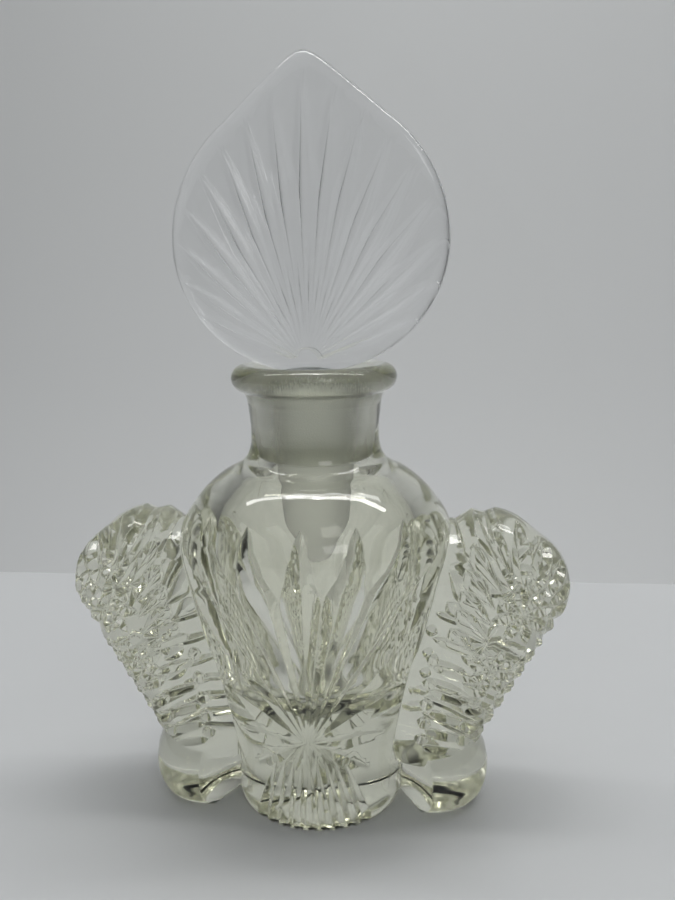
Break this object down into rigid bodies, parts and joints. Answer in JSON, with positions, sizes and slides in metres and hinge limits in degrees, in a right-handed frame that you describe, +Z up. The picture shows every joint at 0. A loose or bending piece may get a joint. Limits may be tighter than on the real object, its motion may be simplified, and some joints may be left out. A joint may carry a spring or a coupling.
{
  "type": "perfume bottle with stopper",
  "caption": "Pressed clear-glass perfume bottle with patterned side wings, star-cut panels and a ground-glass stopper with a fluted leaf finial.",
  "frame": {"origin": "centre of the foot of the bottle, on the surface it stands on", "axes": "+Z up along the neck, wings along +X and -X, star-cut panels facing -Y and +Y"},
  "size_m": [0.1092, 0.0584, 0.1604],
  "materials": {
    "bottle_glass": "polished clear glass with a faint straw tint",
    "ground_glass": "ground, frosted grey-white",
    "stopper_glass": "polished colourless glass"
  },
  "bodies": {
    "bottle": {"bottle_body": "bottle_glass", "bottle_neck": "bottle_glass", "left_wing": "bottle_glass", "right_wing": "bottle_glass", "left_foot": "bottle_glass", "right_foot": "bottle_glass"},
    "stopper": {"stopper_plug": "ground_glass", "stopper_finial": "stopper_glass"}
  },
  "joints": [
    {"name": "stopper_lift", "type": "slide", "parent": "bottle", "child": "stopper", "axis": [0, 0, 1], "range_m": [0, 0.055]}
  ]
}
